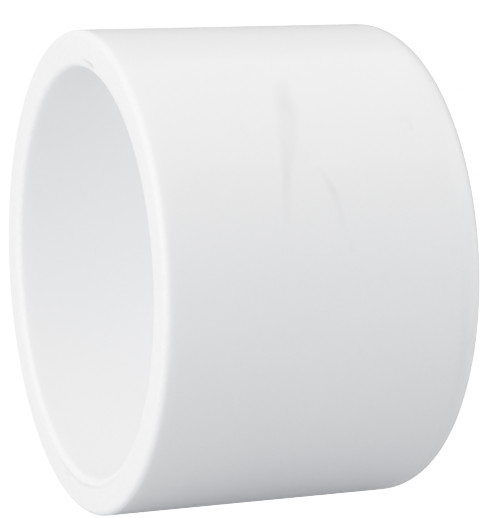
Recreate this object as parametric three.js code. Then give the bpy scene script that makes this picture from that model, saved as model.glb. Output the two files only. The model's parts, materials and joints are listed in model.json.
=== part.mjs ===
// Slip-socket pipe cap, nominal size 1-1/4 inch, moulded in one piece of rigid white PVC.
//
// Units are millimetres and +Z is up. The cap lies on its side: its axis runs along X,
// the open socket faces -X and the closed end faces +X. The origin is under the middle
// of the cap, on the surface that it lies on.

import * as THREE from 'three';

// Outside of the cap
const MOUTH_OUTER_DIAMETER = 50.0;
const OVERALL_LENGTH = 34.8;
const OUTER_DRAFT_DEGREES = 0.6; // mould draft: the barrel narrows towards the closed end
const MOUTH_EDGE_RADIUS = 0.7;
const CLOSED_CORNER_RADIUS = 3.4;

// Tapered socket that the pipe is cemented into
const SOCKET_MOUTH_DIAMETER = 42.42;
const SOCKET_BOTTOM_DIAMETER = 42.04;
const SOCKET_DEPTH = 24.3;
const SOCKET_EDGE_CHAMFER = 0.3; // the same size across the rim and along the socket
const RIM_BEVEL_WIDTH = 0.8; // a shallow slope on the rim, just outside the chamfer
const RIM_BEVEL_DEPTH = 0.1;

// Shoulder that stops the pipe, and the shallow space between it and the end wall
const PIPE_STOP_WIDTH = 1.7;
const END_WALL_THICKNESS = 5.0;
const END_FILLET_RADIUS = 3.0;

// Mark that the mould's gate leaves in the middle of the closed end
const GATE_DISH_DIAMETER = 5.6;
const GATE_DISH_DEPTH = 0.5;
const GATE_DISH_SLOPE = 0.4; // the dish's side leans in by this much
const GATE_STUB_DIAMETER = 2.2;
const GATE_STUB_HEIGHT = 0.3;

// Fineness of the turned surface
const TURN_SEGMENTS = 96;
const ARC_DIVISIONS = 4; // each rounded corner gets twice as many chords

const PVC_WHITE = 0xf2f3f4;
const PVC_ROUGHNESS = 0.35;

const mouthOuterRadius = MOUTH_OUTER_DIAMETER / 2;

// Outer radius of the barrel at a distance from the mouth face
function barrelRadius(distance) {
  const draft = Math.tan(THREE.MathUtils.degToRad(OUTER_DRAFT_DEGREES));
  return mouthOuterRadius - (distance - MOUTH_EDGE_RADIUS) * draft;
}

// Radius of the tapered socket at a distance from the mouth face
function socketRadius(distance) {
  const share = distance / SOCKET_DEPTH;
  return THREE.MathUtils.lerp(SOCKET_MOUTH_DIAMETER, SOCKET_BOTTOM_DIAMETER, share) / 2;
}

// Hollow side of the profile, from the axis on the end wall out to the rim.
// Path x is the radius, and path y is the distance from the mouth face.
function traceInside(profile) {
  const floorDistance = OVERALL_LENGTH - END_WALL_THICKNESS;
  const spaceRadius = socketRadius(SOCKET_DEPTH) - PIPE_STOP_WIDTH;
  profile.moveTo(0, floorDistance);
  profile.lineTo(spaceRadius - END_FILLET_RADIUS, floorDistance);
  profile.absarc(
    spaceRadius - END_FILLET_RADIUS,
    floorDistance - END_FILLET_RADIUS,
    END_FILLET_RADIUS,
    Math.PI / 2,
    0,
    true,
  );
  profile.lineTo(spaceRadius, SOCKET_DEPTH);
  profile.lineTo(socketRadius(SOCKET_DEPTH), SOCKET_DEPTH);
  const chamferEnd = RIM_BEVEL_DEPTH + SOCKET_EDGE_CHAMFER;
  const bevelInnerRadius = socketRadius(0) + SOCKET_EDGE_CHAMFER;
  profile.lineTo(socketRadius(chamferEnd), chamferEnd);
  profile.lineTo(bevelInnerRadius, RIM_BEVEL_DEPTH);
  profile.lineTo(bevelInnerRadius + RIM_BEVEL_WIDTH, 0);
}

// Outer side of the profile, from the rim over the barrel to the edge of the gate mark
function traceOutside(profile) {
  const cornerDistance = OVERALL_LENGTH - CLOSED_CORNER_RADIUS;
  profile.absarc(
    mouthOuterRadius - MOUTH_EDGE_RADIUS,
    MOUTH_EDGE_RADIUS,
    MOUTH_EDGE_RADIUS,
    -Math.PI / 2,
    0,
    false,
  );
  profile.absarc(
    barrelRadius(cornerDistance) - CLOSED_CORNER_RADIUS,
    cornerDistance,
    CLOSED_CORNER_RADIUS,
    0,
    Math.PI / 2,
    false,
  );
}

// Shallow dish with the cut-off stub of the sprue in it, lower than the end face
function traceGateMark(profile) {
  const dishRadius = GATE_DISH_DIAMETER / 2;
  const stubRadius = GATE_STUB_DIAMETER / 2;
  const dishFloor = OVERALL_LENGTH - GATE_DISH_DEPTH;
  profile.lineTo(dishRadius, OVERALL_LENGTH);
  profile.lineTo(dishRadius - GATE_DISH_SLOPE, dishFloor);
  profile.lineTo(stubRadius, dishFloor);
  profile.lineTo(stubRadius, dishFloor + GATE_STUB_HEIGHT);
  profile.lineTo(0, dishFloor + GATE_STUB_HEIGHT);
}

function makeCapBody() {
  const profile = new THREE.Path();
  traceInside(profile);
  traceOutside(profile);
  traceGateMark(profile);
  const geometry = new THREE.LatheGeometry(profile.getPoints(ARC_DIVISIONS), TURN_SEGMENTS);
  const material = new THREE.MeshStandardMaterial({
    color: PVC_WHITE,
    roughness: PVC_ROUGHNESS,
    metalness: 0,
  });
  const body = new THREE.Mesh(geometry, material);
  body.name = 'cap_body';
  // The lathe turns about its own Y axis, which is laid along +X here
  body.rotation.z = -Math.PI / 2;
  body.position.set(-OVERALL_LENGTH / 2, 0, mouthOuterRadius);
  return body;
}

const pipeCap = new THREE.Group();
pipeCap.add(makeCapBody());

export default pipeCap;
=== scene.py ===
"""A white PVC slip-socket pipe cap, lying on its side on a pale studio floor.

Everything is in metres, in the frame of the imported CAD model: the cap's axis runs along X, the
socket opens towards -X, +Z is up, and the cap rests on z = 0.
"""
import json
import math

import bpy
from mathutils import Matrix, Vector


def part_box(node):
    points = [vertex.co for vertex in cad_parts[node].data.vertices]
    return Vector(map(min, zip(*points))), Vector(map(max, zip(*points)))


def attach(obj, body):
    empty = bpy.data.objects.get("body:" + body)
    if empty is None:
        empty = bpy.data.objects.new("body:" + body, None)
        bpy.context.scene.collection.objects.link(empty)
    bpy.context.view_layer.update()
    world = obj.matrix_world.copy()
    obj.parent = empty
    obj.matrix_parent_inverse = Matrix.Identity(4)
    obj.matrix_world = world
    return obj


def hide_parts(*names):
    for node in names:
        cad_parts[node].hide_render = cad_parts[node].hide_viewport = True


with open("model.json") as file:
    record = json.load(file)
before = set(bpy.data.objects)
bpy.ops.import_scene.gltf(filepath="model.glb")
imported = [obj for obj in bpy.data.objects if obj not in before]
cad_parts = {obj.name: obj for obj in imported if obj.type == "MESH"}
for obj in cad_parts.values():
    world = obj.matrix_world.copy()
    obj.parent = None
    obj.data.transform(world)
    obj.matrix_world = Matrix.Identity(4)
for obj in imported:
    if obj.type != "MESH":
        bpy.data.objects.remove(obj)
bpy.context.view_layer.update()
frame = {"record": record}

MM = 0.001

# The CAD node and the places that the frame gives
LOW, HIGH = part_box("cap_body")
MOUNTS = {mount["name"]: Vector(mount["pos_m"]) for mount in frame["record"]["mounts"]}
MOUTH_X = LOW.x
LENGTH = HIGH.x - LOW.x
OUTER_RADIUS = (HIGH.z - LOW.z) / 2
AXIS_Z = (HIGH.z + LOW.z) / 2
SOCKET_DEPTH = MOUNTS["pipe_stop"].x - MOUTH_X
STOP_MIDDLE_RADIUS = MOUNTS["pipe_stop"].z - AXIS_Z

# Moulded shape, as in the CAD model
OUTER_DRAFT = math.radians(0.6)
MOUTH_EDGE_ROUNDING = 0.7 * MM
CLOSED_CORNER_ROUNDING = 3.4 * MM
SOCKET_MOUTH_RADIUS = 21.21 * MM
SOCKET_BOTTOM_RADIUS = 21.02 * MM
SOCKET_EDGE_CHAMFER = 0.3 * MM
RIM_BEVEL_WIDTH = 0.8 * MM
RIM_BEVEL_DEPTH = 0.1 * MM
SPACE_RADIUS = 2 * STOP_MIDDLE_RADIUS - SOCKET_BOTTOM_RADIUS
END_WALL = 5.0 * MM
END_FILLET = 3.0 * MM
GATE_DISH_RADIUS = 2.8 * MM
GATE_DISH_DEPTH = 0.5 * MM
GATE_DISH_SLOPE = 0.4 * MM
GATE_STUB_RADIUS = 1.1 * MM
GATE_STUB_HEIGHT = 0.3 * MM

# Small roundings that a mould leaves on its sharp edges
STOP_EDGE_ROUNDING = 0.35 * MM
STOP_ROOT_ROUNDING = 0.25 * MM
SOCKET_EDGE_ROUNDING = 0.5 * MM
RIM_BEVEL_ROUNDING = 2.0 * MM
GATE_ROUNDING = 0.12 * MM

# A nick in the rim's shallow bevel, near the top
NICK_RADIUS = 22.02 * MM
NICK_START = math.radians(78.5)
NICK_END = math.radians(87.5)
NICK_HALF_WIDTH = 0.3 * MM
NICK_DEPTH = 0.1 * MM
NICK_TAPER = math.radians(2)

# Handling marks on the barrel. Each mark is a line through points of
# (mm from the mouth, degrees above the front, half width in mm, strength from 0 to 1).
SMUDGE = [
    (17.3, 60, 0.9, 0.0),
    (16.8, 56.5, 1.1, 0.22),
    (16.15, 53, 1.3, 0.55),
    (16.0, 47.7, 1.7, 0.72),
    (15.35, 41.8, 1.65, 0.64),
    (14.8, 36.5, 1.5, 0.6),
    (14.2, 31.5, 1.0, 0.5),
    (13.95, 29, 0.75, 0.55),
    (13.65, 25.5, 0.7, 0.4),
    (13.4, 22, 0.8, 0.26),
    (13.0, 15, 0.6, 0.0),
]
SMUDGE_EDGE = [
    (17.2, 38, 1.0, 0.0),
    (16.2, 33.7, 1.3, 0.2),
    (15.4, 31, 1.0, 0.0),
]
STREAK = [
    (17.2, 31, 0.5, 0.0),
    (17.9, 28.3, 0.55, 0.25),
    (18.4, 25.5, 0.58, 0.66),
    (18.75, 22.9, 0.58, 0.46),
    (18.9, 20.5, 0.62, 0.38),
    (19.15, 16.2, 0.6, 0.18),
    (19.5, 13, 0.5, 0.05),
]
SPOT = [
    (19.75, 12, 0.4, 0.28),
    (19.75, 10.8, 0.4, 0.28),
]
HOOK = [
    (27.5, 42.0, 0.35, 0.3),
    (28.1, 42.7, 0.38, 0.36),
    (28.55, 41.4, 0.38, 0.5),
    (28.45, 39.5, 0.38, 0.5),
]
UPPER_BLOTCH = [
    (13.9, 62, 0.9, 0.14),
    (13.5, 60.5, 0.9, 0.14),
]
LEFT_BLOTCH = [
    (10.3, 41.5, 0.9, 0.2),
    (10.6, 40.5, 0.9, 0.2),
]
BARREL_MARKS = [SMUDGE, SMUDGE_EDGE, STREAK, SPOT, HOOK, UPPER_BLOTCH, LEFT_BLOTCH]
BARREL_MARK_SHADE = 0.18

# Marks on the rim, and painted shade: the dash along the nick darkens the colour where shade falls
# in its groove. Each is a line through points of (mm from the axis, degrees above the front, half
# width in mm, strength from 0 to 1).
# Painted shade: the colour is darkened along the nick, where shade falls in its groove
NICK_PAINTED_SHADE = [
    (22.1, 89, 0.25, 0.15),
    (22.07, 84, 0.35, 0.45),
    (22.02, 80, 0.4, 0.6),
    (21.98, 78.5, 0.3, 0.3),
]
RIM_SPECK = [
    (22.35, -101, 0.3, 0.22),
    (22.5, -104, 0.3, 0.22),
]
MOULD_LINE = [
    (22.0, -52, 0.2, 0.0),
    (22.02, -70, 0.28, 0.22),
    (22.03, -88, 0.3, 0.34),
    (22.03, -100, 0.3, 0.3),
    (22.0, -125, 0.2, 0.0),
]
RIM_MARKS_AND_NICK_SHADE = [NICK_PAINTED_SHADE, RIM_SPECK, MOULD_LINE]
RIM_MARK_RADIUS = NICK_RADIUS
# How far the rim marks darken the white, the painted shade along the nick included
RIM_MARK_AND_NICK_SHADE = 0.6

# How the marks fade: the share of the half width that keeps its full strength, and the fine
# streaks that a mark on the barrel is rubbed thin in. They are a noise, given by its scale per
# mm along and round the cap, whose range of values becomes a range of strengths.
MARK_FLAT_SHARE = 0.15
RUB_STREAKS = (1.1, 0.3, 1.0)
RUB_RANGE = (0.25, 0.75)
RUB_STRENGTHS = (0.7, 1.2)

# White PVC
PVC_COLOUR = (0.857, 0.863, 0.875)
PVC_IOR = 1.53
LIGHT_SPREAD = 0.8 * MM

# Where one zone of the surface passes into the next: soft steps, in mm
BARREL_FROM_AXIS = (22.9, 23.6)
RIM_FROM_MOUTH = (0.3, 0.7)
SOCKET_FROM_AXIS = (21.25, 21.45)
END_FROM_MOUTH = (LENGTH / MM - 1.2, LENGTH / MM - 0.7)
GATE_FROM_AXIS = (1.1, 1.3)

# Colour: how far each kind of shading darkens or lightens the white
CLOUDS_PER_MM = 0.09
CLOUD_SHADE = 0.05
MOTTLE_PER_MM = 2.4
MOTTLE_SHADE = 0.035
RIM_MOTTLE_SHADE = 0.17
# Painted shade: the mouth face, turned towards the strongest softbox, is darkened a little in the
# colour
RIM_PAINTED_SHADE = 0.042
GATE_SHADE = 0.03

# Roughness: the polished barrel's, and what the other places add to it
ROUGHNESS = 0.17
PATCHES_PER_MM = 0.35
PATCH_ROUGHNESS = 0.08
RIM_ROUGHNESS = 0.2
SOCKET_ROUGHNESS = 0.15
GATE_ROUGHNESS = 0.25
BARREL_MARK_ROUGHNESS = 0.05
RIM_MARK_ROUGHNESS = 0.2

# Relief: heights in mm of the orange-peel ripple, the grain, and the lines left by turned tools
RIPPLES_PER_MM = 0.6
RIPPLE_HEIGHT = 0.006
GRAINS_PER_MM = 2.6
GRAIN_HEIGHT = 0.001
RIM_GRAIN_HEIGHT = 0.008
GATE_GRAIN_HEIGHT = 0.1
WANDER_PER_MM = 0.4
CORE_LINES_PER_MM = 1.9
END_LINES_PER_MM = 1.3
LINE_HEIGHT = 0.0009

# Fineness of the turned mesh
SEGMENTS = 288
ARC_STEP = math.radians(9)
RING_SPACING = 1.3 * MM
RIM_RING_SPACING = 0.12 * MM
SUPPORT_SPACING = 0.1 * MM
SHORT_RUN = 2.5 * MM

# The camera: round and above the cap's middle, aimed a touch to the right of it and above it
CAMERA_AZIMUTH = -21.4
CAMERA_ELEVATION = 8.47
CAMERA_DISTANCE = 367 * MM
CAMERA_LENS_MM = 244.1
CAMERA_SENSOR_MM = 36
CAMERA_CLIP_START = 10 * MM
AIM_RIGHT = 1.19 * MM
AIM_UP = 0.54 * MM

# Soft studio light: an even glow from all round, and round softboxes that face the cap
AMBIENT = 0.4
AMBIENT_COLOUR = (0.98, 1.0, 1.04)
SOFTBOX_DISTANCE = 0.6
SOFTBOX_DIAMETER = 0.85
# (name, degrees from the front towards +X, degrees above the cap, watts, colour)
SOFTBOXES = [
    ("left", -75, 15, 6.15, (0.98, 1.0, 1.05)),
    ("left_high", -90, 50, 2.5, (1.1, 1.01, 0.84)),
    ("right", 75, 15, 2.25, (0.98, 1.0, 1.01)),
    ("right_high", 90, 50, 1.85, (1.01, 1.0, 0.99)),
]
FLOOR_GLOW = 4.0
FLOOR_OPACITY = 0.4
FLOOR_GREY = (0.7, 0.7, 0.7, 1)
FLOOR_REACH = 4.0
BACKDROP_GLOW = 5.0

# Tone curve of the picture: straight up to the knee, then an easy shoulder up to white
TONE_KNEE = 0.4
TONE_WHITE = 5.0
TONE_POINTS = [0.2, 0.4, 0.55, 0.7, 0.85, 1.0, 1.2, 1.4, 1.7, 2.0, 2.5, 3.2]


# ---------------------------------------------------------------- profile of the cap

def barrel_radius(distance):
    """Outer radius of the barrel at a distance from the mouth face."""
    return OUTER_RADIUS - (distance - MOUTH_EDGE_ROUNDING) * math.tan(OUTER_DRAFT)


def socket_radius(distance):
    """Radius of the tapered socket at a distance from the mouth face."""
    share = distance / SOCKET_DEPTH
    return SOCKET_MOUTH_RADIUS + (SOCKET_BOTTOM_RADIUS - SOCKET_MOUTH_RADIUS) * share


def profile_corners():
    """Corners of the profile as (distance from the mouth, radius, rounding), inside to outside."""
    floor = LENGTH - END_WALL
    chamfer_end = RIM_BEVEL_DEPTH + SOCKET_EDGE_CHAMFER
    bevel_inner = SOCKET_MOUTH_RADIUS + SOCKET_EDGE_CHAMFER
    dish_floor = LENGTH - GATE_DISH_DEPTH
    stub_top = dish_floor + GATE_STUB_HEIGHT
    return [
        (floor, 0, 0),
        (floor, SPACE_RADIUS, END_FILLET),
        (SOCKET_DEPTH, SPACE_RADIUS, STOP_EDGE_ROUNDING),
        (SOCKET_DEPTH, SOCKET_BOTTOM_RADIUS, STOP_ROOT_ROUNDING),
        (chamfer_end, socket_radius(chamfer_end), SOCKET_EDGE_ROUNDING),
        (RIM_BEVEL_DEPTH, bevel_inner, SOCKET_EDGE_ROUNDING),
        (0, bevel_inner + RIM_BEVEL_WIDTH, RIM_BEVEL_ROUNDING),
        (0, barrel_radius(0), MOUTH_EDGE_ROUNDING),
        (LENGTH, barrel_radius(LENGTH), CLOSED_CORNER_ROUNDING),
        (LENGTH, GATE_DISH_RADIUS, GATE_ROUNDING),
        (dish_floor, GATE_DISH_RADIUS - GATE_DISH_SLOPE, GATE_ROUNDING),
        (dish_floor, GATE_STUB_RADIUS, GATE_ROUNDING),
        (stub_top, GATE_STUB_RADIUS, GATE_ROUNDING),
        (stub_top, 0, 0),
    ]


def corner_arc(before, corner, after, rounding):
    """Points of the arc that rounds one corner of the profile."""
    to_before = (before - corner).normalized()
    to_after = (after - corner).normalized()
    half_angle = to_before.angle(to_after) / 2
    reach = rounding / math.tan(half_angle)
    middle = (to_before + to_after).normalized()
    centre = corner + middle * rounding / math.sin(half_angle)
    first = corner + to_before * reach - centre
    turn = math.pi - 2 * half_angle
    if to_before.cross(to_after) > 0:
        turn = -turn
    steps = max(3, math.ceil(abs(turn) / ARC_STEP))
    points = []
    for step in range(steps + 1):
        angle = turn * step / steps
        cosine, sine = math.cos(angle), math.sin(angle)
        points.append(centre + Vector((first.x * cosine - first.y * sine,
                                       first.x * sine + first.y * cosine)))
    return points


def straight_run(start, end):
    """Points between two arcs, evenly spaced, with a support ring close to each end."""
    run = end - start
    direction = run.normalized()
    if run.length < 4 * SUPPORT_SPACING:
        return []
    first = start + direction * SUPPORT_SPACING
    last = end - direction * SUPPORT_SPACING
    spacing = RIM_RING_SPACING if run.length < SHORT_RUN else RING_SPACING
    count = max(1, round((last - first).length / spacing))
    return [first.lerp(last, step / count) for step in range(count + 1)]


def profile_points():
    """The whole profile, from the axis on the end wall to the axis on the gate stub."""
    corners = [(Vector((distance, radius)), rounding)
               for distance, radius, rounding in profile_corners()]
    arcs = [[corners[0][0]]]
    for (before, _), (corner, rounding), (after, _) in zip(corners, corners[1:], corners[2:]):
        arcs.append(corner_arc(before, corner, after, rounding))
    arcs.append([corners[-1][0]])
    points = list(arcs[0])
    for arc, following in zip(arcs, arcs[1:]):
        points += straight_run(arc[-1], following[0])
        points += following
    return points


# ---------------------------------------------------------------- mesh of the cap

def turned_mesh(name, points):
    """A closed mesh that turns the profile about the cap's axis."""
    vertices = []
    rings = []
    for point in points:
        x = MOUTH_X + point.x
        if point.y == 0:
            rings.append([len(vertices)] * SEGMENTS)
            vertices.append((x, 0, AXIS_Z))
            continue
        rings.append(list(range(len(vertices), len(vertices) + SEGMENTS)))
        for segment in range(SEGMENTS):
            angle = 2 * math.pi * segment / SEGMENTS
            vertices.append((x, -point.y * math.cos(angle), AXIS_Z + point.y * math.sin(angle)))
    faces = []
    for ring, following in zip(rings, rings[1:]):
        for segment in range(SEGMENTS):
            after = (segment + 1) % SEGMENTS
            corners = [ring[segment], following[segment], following[after], ring[after]]
            faces.append(list(dict.fromkeys(corners)))
    mesh = bpy.data.meshes.new(name)
    mesh.from_pydata(vertices, [], faces)
    mesh.update()
    mesh.shade_smooth()
    return mesh


def ease(share):
    """A smooth step from 0 to 1."""
    share = min(max(share, 0), 1)
    return share * share * (3 - 2 * share)


def press_nick(mesh):
    """Press a short shallow nick into the rim."""
    for vertex in mesh.vertices:
        if vertex.co.x > MOUTH_X + RIM_BEVEL_DEPTH:
            continue
        height = vertex.co.z - AXIS_Z
        angle = math.atan2(height, -vertex.co.y)
        off_line = abs(math.hypot(vertex.co.y, height) - NICK_RADIUS)
        to_end = min(angle - NICK_START, NICK_END - angle)
        across = ease(1 - off_line / NICK_HALF_WIDTH)
        along = ease(to_end / NICK_TAPER)
        vertex.co.x += NICK_DEPTH * across * along


def make_cap():
    """The moulded cap, which stands for the CAD body."""
    mesh = turned_mesh("moulded_cap", profile_points())
    press_nick(mesh)
    cap = bpy.data.objects.new("moulded_cap", mesh)
    bpy.context.scene.collection.objects.link(cap)
    cap.data.materials.append(pvc_material())
    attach(cap, "root")
    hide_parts("cap_body")


# ---------------------------------------------------------------- material of the cap

def add_node(tree, kind, **settings):
    """A new shader node with its settings."""
    made = tree.nodes.new(kind)
    for setting, value in settings.items():
        setattr(made, setting, value)
    return made


def feed(tree, target, value):
    """Link a socket, or set a plain value, on an input."""
    if isinstance(value, bpy.types.NodeSocket):
        tree.links.new(value, target)
    else:
        target.default_value = value


def calculate(tree, operation, *values):
    """The result of a Math node."""
    made = add_node(tree, "ShaderNodeMath", operation=operation)
    for target, value in zip(made.inputs, values):
        feed(tree, target, value)
    return made.outputs["Value"]


def calculate_vector(tree, operation, *values, result="Vector"):
    """The result of a Vector Math node."""
    made = add_node(tree, "ShaderNodeVectorMath", operation=operation)
    for target, value in zip(made.inputs, values):
        feed(tree, target, value)
    return made.outputs[result]


def scaled(tree, vector, amount):
    """A vector times a number."""
    made = add_node(tree, "ShaderNodeVectorMath", operation="SCALE")
    feed(tree, made.inputs["Vector"], vector)
    feed(tree, made.inputs["Scale"], amount)
    return made.outputs["Vector"]


def remap(tree, value, from_min, from_max, to_min, to_max, smooth=True):
    """A value carried from one range to another, and held within it."""
    kind = "SMOOTHSTEP" if smooth else "LINEAR"
    made = add_node(tree, "ShaderNodeMapRange", interpolation_type=kind)
    names = ("Value", "From Min", "From Max", "To Min", "To Max")
    for name, setting in zip(names, (value, from_min, from_max, to_min, to_max)):
        feed(tree, made.inputs[name], setting)
    return made.outputs["Result"]


def noise_value(tree, place, scale, detail=3.0, roughness=0.5):
    """A noise from 0 to 1, about 0.5 on average."""
    made = add_node(tree, "ShaderNodeTexNoise")
    feed(tree, made.inputs["Vector"], place)
    made.inputs["Scale"].default_value = scale
    made.inputs["Detail"].default_value = detail
    made.inputs["Roughness"].default_value = roughness
    return made.outputs["Fac"]


def uneven(tree, place, per_mm, detail=3.0, roughness=0.5):
    """The same noise, about 0 on average."""
    return calculate(tree, "SUBTRACT", noise_value(tree, place, per_mm, detail, roughness), 0.5)


def pair(tree, first, second):
    """Two numbers as one flat vector."""
    made = add_node(tree, "ShaderNodeCombineXYZ")
    feed(tree, made.inputs["X"], first)
    feed(tree, made.inputs["Y"], second)
    return made.outputs["Vector"]


class Places:
    """Where a point of the surface lies, in millimetres, for one material's nodes."""

    def __init__(self, tree):
        coordinates = add_node(tree, "ShaderNodeTexCoord").outputs["Object"]
        self.solid = calculate_vector(tree, "MULTIPLY", coordinates, (1 / MM, 1 / MM, 1 / MM))
        parts = add_node(tree, "ShaderNodeSeparateXYZ")
        tree.links.new(self.solid, parts.inputs["Vector"])
        forward = calculate(tree, "MULTIPLY", parts.outputs["Y"], -1.0)
        upward = calculate(tree, "SUBTRACT", parts.outputs["Z"], AXIS_Z / MM)
        self.distance = calculate(tree, "SUBTRACT", parts.outputs["X"], MOUTH_X / MM)
        self.angle = calculate(tree, "ARCTAN2", upward, forward)
        flat = pair(tree, forward, upward)
        self.radius = calculate_vector(tree, "LENGTH", flat, result="Value")
        arc = calculate(tree, "MULTIPLY", self.angle, OUTER_RADIUS / MM)
        self.on_barrel = pair(tree, self.distance, arc)
        rim_arc = calculate(tree, "MULTIPLY", self.angle, RIM_MARK_RADIUS / MM)
        self.on_rim = pair(tree, self.radius, rim_arc)


def stroke(tree, place, turn_radius, start, end):
    """One straight piece of a mark: its strength on the line, down to 0 at its edges."""
    first = Vector((start[0], math.radians(start[1]) * turn_radius, 0))
    last = Vector((end[0], math.radians(end[1]) * turn_radius, 0))
    run = last - first
    offset = calculate_vector(tree, "SUBTRACT", place, tuple(first))
    along = calculate_vector(tree, "DOT_PRODUCT", offset, tuple(run / run.length_squared),
                             result="Value")
    along = calculate(tree, "MINIMUM", calculate(tree, "MAXIMUM", along, 0.0), 1.0)
    reached = scaled(tree, tuple(run), along)
    gap = calculate_vector(tree, "DISTANCE", offset, reached, result="Value")
    half_width = remap(tree, along, 0.0, 1.0, start[2], end[2], smooth=False)
    strength = remap(tree, along, 0.0, 1.0, start[3], end[3], smooth=False)
    flat = calculate(tree, "MULTIPLY", half_width, MARK_FLAT_SHARE)
    inside = remap(tree, gap, flat, half_width, 1.0, 0.0)
    return calculate(tree, "MULTIPLY", inside, strength)


def marks_mask(tree, place, turn_radius, marks):
    """All of the marks together, from 0 to 1."""
    mask = None
    for mark in marks:
        for start, end in zip(mark, mark[1:]):
            piece = stroke(tree, place, turn_radius, start, end)
            mask = piece if mask is None else calculate(tree, "MAXIMUM", mask, piece)
    return mask


def zone_masks(tree, places):
    """Which part of the surface a point is on: barrel, rim, socket, end face, gate stub."""
    outer_side = remap(tree, places.radius, *BARREL_FROM_AXIS, 0.0, 1.0)
    near_mouth = remap(tree, places.distance, *RIM_FROM_MOUTH, 1.0, 0.0)
    inner_side = remap(tree, places.radius, *SOCKET_FROM_AXIS, 1.0, 0.0)
    at_end = remap(tree, places.distance, *END_FROM_MOUTH, 0.0, 1.0)
    at_middle = remap(tree, places.radius, *GATE_FROM_AXIS, 1.0, 0.0)
    off_rim = calculate(tree, "SUBTRACT", 1.0, near_mouth)
    short_of_end = calculate(tree, "SUBTRACT", 1.0, at_end)
    return {
        "barrel": calculate(tree, "MULTIPLY", outer_side, off_rim),
        "rim": near_mouth,
        "socket": calculate(tree, "MULTIPLY", inner_side, short_of_end),
        "end": at_end,
        "gate": calculate(tree, "MULTIPLY", at_end, at_middle),
    }


def broken_marks(tree, places, zones):
    """The barrel's handling marks, rubbed thin in fine streaks that run round the barrel."""
    mask = marks_mask(tree, places.on_barrel, OUTER_RADIUS / MM, BARREL_MARKS)
    stretched = calculate_vector(tree, "MULTIPLY", places.on_barrel, RUB_STREAKS)
    streaks = noise_value(tree, stretched, 1.0, detail=1.0)
    kept = remap(tree, streaks, *RUB_RANGE, *RUB_STRENGTHS)
    mask = calculate(tree, "MULTIPLY", mask, kept)
    return calculate(tree, "MULTIPLY", mask, zones["barrel"])


def add_terms(tree, start, terms):
    """A number plus each (mask, amount) product."""
    total = start
    for mask, amount in terms:
        made = add_node(tree, "ShaderNodeMath", operation="MULTIPLY_ADD")
        feed(tree, made.inputs[0], mask)
        feed(tree, made.inputs[1], amount)
        feed(tree, made.inputs[2], total)
        total = made.outputs["Value"]
    return total


def pvc_colour(tree, places, zones, barrel_marks, rim_marks_and_nick_shade):
    """White with faint clouding, a fine mottle that is strongest on the rim, the marks, and
    painted shade on the mouth face and along the nick.
    """
    clouds = uneven(tree, places.solid, CLOUDS_PER_MM, 3.0, 0.6)
    mottle = uneven(tree, places.solid, MOTTLE_PER_MM, 1.0)
    rim_mottle = calculate(tree, "MULTIPLY", mottle, zones["rim"])
    shade = add_terms(tree, 1.0, [
        (clouds, CLOUD_SHADE),
        (mottle, MOTTLE_SHADE),
        (rim_mottle, RIM_MOTTLE_SHADE),
        # painted shade: the mouth face darkened a little
        (zones["rim"], -RIM_PAINTED_SHADE),
        (barrel_marks, -BARREL_MARK_SHADE),
        # the rim marks carry the painted shade along the nick
        (rim_marks_and_nick_shade, -RIM_MARK_AND_NICK_SHADE),
        (zones["gate"], -GATE_SHADE),
    ])
    return scaled(tree, PVC_COLOUR, shade)


def pvc_roughness(tree, places, zones, barrel_marks, rim_marks_and_nick_shade):
    """Glossiest on the polished barrel, and duller in the socket, on the rim and on the gate."""
    patches = uneven(tree, places.solid, PATCHES_PER_MM, 3.0, 0.6)
    return add_terms(tree, ROUGHNESS, [
        (patches, PATCH_ROUGHNESS),
        (zones["rim"], RIM_ROUGHNESS),
        (zones["socket"], SOCKET_ROUGHNESS),
        (zones["gate"], GATE_ROUGHNESS),
        (barrel_marks, BARREL_MARK_ROUGHNESS),
        (rim_marks_and_nick_shade, RIM_MARK_ROUGHNESS),
    ])


def tool_lines(tree, place, per_mm, wander, zone):
    """Fine wavering lines that a turned tool leaves in one zone."""
    turns = calculate(tree, "MULTIPLY", add_terms(tree, wander, [(place, per_mm)]), 2 * math.pi)
    return calculate(tree, "MULTIPLY", calculate(tree, "SINE", turns), zone)


def pvc_relief(tree, places, zones):
    """Height of the fine surface texture, in millimetres."""
    ripple = uneven(tree, places.solid, RIPPLES_PER_MM, 2.0)
    grain = uneven(tree, places.solid, GRAINS_PER_MM, 1.0)
    rim_grain = calculate(tree, "MULTIPLY", grain, zones["rim"])
    gate_grain = calculate(tree, "MULTIPLY", grain, zones["gate"])
    wander = noise_value(tree, places.solid, WANDER_PER_MM)
    core_lines = tool_lines(tree, places.distance, CORE_LINES_PER_MM, wander, zones["socket"])
    end_lines = tool_lines(tree, places.radius, END_LINES_PER_MM, wander, zones["end"])
    return add_terms(tree, 0.0, [
        (ripple, RIPPLE_HEIGHT),
        (grain, GRAIN_HEIGHT),
        (rim_grain, RIM_GRAIN_HEIGHT),
        (gate_grain, GATE_GRAIN_HEIGHT),
        (core_lines, LINE_HEIGHT),
        (end_lines, LINE_HEIGHT),
    ])


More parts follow.
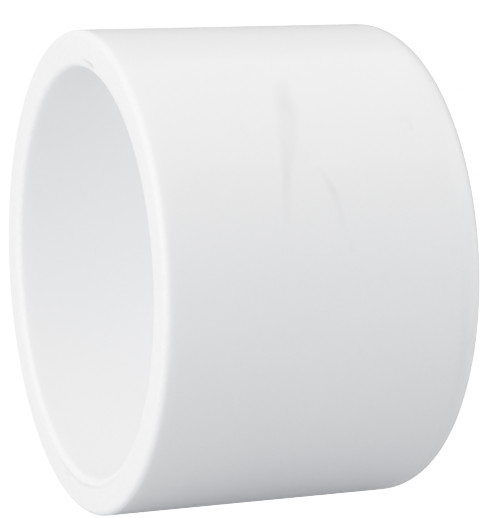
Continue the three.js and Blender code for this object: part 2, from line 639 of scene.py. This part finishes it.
def pvc_material():
    """White PVC: moulded, semi-gloss, mottled on the rim and scuffed on the barrel."""
    material = bpy.data.materials.new("white_pvc")
    material.use_nodes = True
    tree = material.node_tree
    shader = tree.nodes["Principled BSDF"]
    places = Places(tree)
    zones = zone_masks(tree, places)
    barrel_marks = broken_marks(tree, places, zones)
    # The rim's marks, with the painted shade along the nick
    rim_marks_and_nick_shade = marks_mask(tree, places.on_rim, RIM_MARK_RADIUS / MM, RIM_MARKS_AND_NICK_SHADE)
    rim_marks_and_nick_shade = calculate(tree, "MULTIPLY", rim_marks_and_nick_shade, zones["rim"])
    colour = pvc_colour(tree, places, zones, barrel_marks, rim_marks_and_nick_shade)
    roughness = pvc_roughness(tree, places, zones, barrel_marks, rim_marks_and_nick_shade)
    bump = add_node(tree, "ShaderNodeBump")
    bump.inputs["Distance"].default_value = MM
    tree.links.new(pvc_relief(tree, places, zones), bump.inputs["Height"])
    tree.links.new(colour, shader.inputs["Base Color"])
    tree.links.new(roughness, shader.inputs["Roughness"])
    tree.links.new(bump.outputs["Normal"], shader.inputs["Normal"])
    shader.inputs["IOR"].default_value = PVC_IOR
    shader.inputs["Subsurface Weight"].default_value = 1.0
    shader.inputs["Subsurface Radius"].default_value = (1, 1, 1)
    shader.inputs["Subsurface Scale"].default_value = LIGHT_SPREAD
    return material


# ---------------------------------------------------------------- stage, light and camera

def floor_material():
    """A light table: pure white to the camera, and partly see-through to the studio's light."""
    material = bpy.data.materials.new("studio_floor")
    material.use_nodes = True
    tree = material.node_tree
    tree.nodes.remove(tree.nodes["Principled BSDF"])
    through = add_node(tree, "ShaderNodeBsdfTransparent")
    bounced = add_node(tree, "ShaderNodeBsdfDiffuse")
    bounced.inputs["Color"].default_value = FLOOR_GREY
    table = add_node(tree, "ShaderNodeMixShader")
    table.inputs["Fac"].default_value = FLOOR_OPACITY
    tree.links.new(through.outputs["BSDF"], table.inputs[1])
    tree.links.new(bounced.outputs["BSDF"], table.inputs[2])
    white = add_node(tree, "ShaderNodeEmission")
    white.inputs["Strength"].default_value = FLOOR_GLOW
    seen = add_node(tree, "ShaderNodeMixShader")
    ray = add_node(tree, "ShaderNodeLightPath")
    tree.links.new(ray.outputs["Is Camera Ray"], seen.inputs["Fac"])
    tree.links.new(table.outputs["Shader"], seen.inputs[1])
    tree.links.new(white.outputs["Emission"], seen.inputs[2])
    tree.links.new(seen.outputs["Shader"], tree.nodes["Material Output"].inputs["Surface"])
    return material


def make_floor():
    """A plain pale floor under the cap."""
    mesh = bpy.data.meshes.new("studio_floor")
    corners = [(-FLOOR_REACH, -FLOOR_REACH, 0), (FLOOR_REACH, -FLOOR_REACH, 0),
               (FLOOR_REACH, FLOOR_REACH, 0), (-FLOOR_REACH, FLOOR_REACH, 0)]
    mesh.from_pydata(corners, [], [(0, 1, 2, 3)])
    floor = bpy.data.objects.new("studio_floor", mesh)
    bpy.context.scene.collection.objects.link(floor)
    floor.data.materials.append(floor_material())


def set_world():
    """An even glow that lights the cap, in front of a white backdrop for the camera."""
    world = bpy.data.worlds.new("studio")
    bpy.context.scene.world = world
    world.use_nodes = True
    tree = world.node_tree
    glow = tree.nodes["Background"]
    glow.inputs["Color"].default_value = (*AMBIENT_COLOUR, 1)
    glow.inputs["Strength"].default_value = AMBIENT
    backdrop = add_node(tree, "ShaderNodeBackground")
    backdrop.inputs["Color"].default_value = (1, 1, 1, 1)
    backdrop.inputs["Strength"].default_value = BACKDROP_GLOW
    ray = add_node(tree, "ShaderNodeLightPath")
    mix = add_node(tree, "ShaderNodeMixShader")
    tree.links.new(ray.outputs["Is Camera Ray"], mix.inputs["Fac"])
    tree.links.new(glow.outputs["Background"], mix.inputs[1])
    tree.links.new(backdrop.outputs["Background"], mix.inputs[2])
    tree.links.new(mix.outputs["Shader"], tree.nodes["World Output"].inputs["Surface"])


def add_softbox(name, azimuth, elevation, watts, colour):
    """One round softbox that faces the middle of the cap."""
    data = bpy.data.lights.new(name, "AREA")
    data.shape = "DISK"
    data.size = SOFTBOX_DIAMETER
    data.energy = watts
    data.color = colour
    light = bpy.data.objects.new(name, data)
    bpy.context.scene.collection.objects.link(light)
    away = direction(azimuth, elevation)
    light.location = Vector((0, 0, AXIS_Z)) + away * SOFTBOX_DISTANCE
    light.rotation_euler = (-away).to_track_quat("-Z", "Y").to_euler()
    light.visible_camera = False


def direction(azimuth, elevation):
    """The direction at some degrees round from the cap's front (-Y) towards +X, and up."""
    turn, rise = math.radians(azimuth), math.radians(elevation)
    return Vector((math.sin(turn) * math.cos(rise), -math.cos(turn) * math.cos(rise),
                   math.sin(rise)))


def make_camera():
    """The camera at the photograph's viewing angle."""
    centre = Vector(((LOW.x + HIGH.x) / 2, 0, AXIS_Z))
    back = direction(CAMERA_AZIMUTH, CAMERA_ELEVATION)
    right = Vector((0, 0, 1)).cross(back).normalized()
    up = back.cross(right)
    data = bpy.data.cameras.new("camera")
    data.lens = CAMERA_LENS_MM
    data.sensor_width = CAMERA_SENSOR_MM
    data.clip_start = CAMERA_CLIP_START
    camera = bpy.data.objects.new("camera", data)
    bpy.context.scene.collection.objects.link(camera)
    camera.location = centre + back * CAMERA_DISTANCE
    aim = centre + right * AIM_RIGHT + up * AIM_UP
    camera.rotation_euler = (aim - camera.location).to_track_quat("-Z", "Y").to_euler()
    bpy.context.scene.camera = camera


def shoulder(light):
    """The tone that a scene brightness above the knee is shown as."""
    room = 1 - TONE_KNEE
    return TONE_KNEE + room * (1 - math.exp(-(light - TONE_KNEE) / room))


def set_tone_curve():
    """Show the picture with soft highlights, as a camera does."""
    settings = bpy.context.scene.view_settings
    settings.view_transform = "Standard"
    settings.use_curve_mapping = True
    mapping = settings.curve_mapping
    mapping.white_level = (TONE_WHITE, TONE_WHITE, TONE_WHITE)
    combined = mapping.curves[3]
    for light in TONE_POINTS:
        tone = light if light < TONE_KNEE else shoulder(light)
        combined.points.new(light / TONE_WHITE, tone)
    mapping.update()


make_camera()
make_cap()
make_floor()
set_world()
for softbox in SOFTBOXES:
    add_softbox(*softbox)
set_tone_curve()
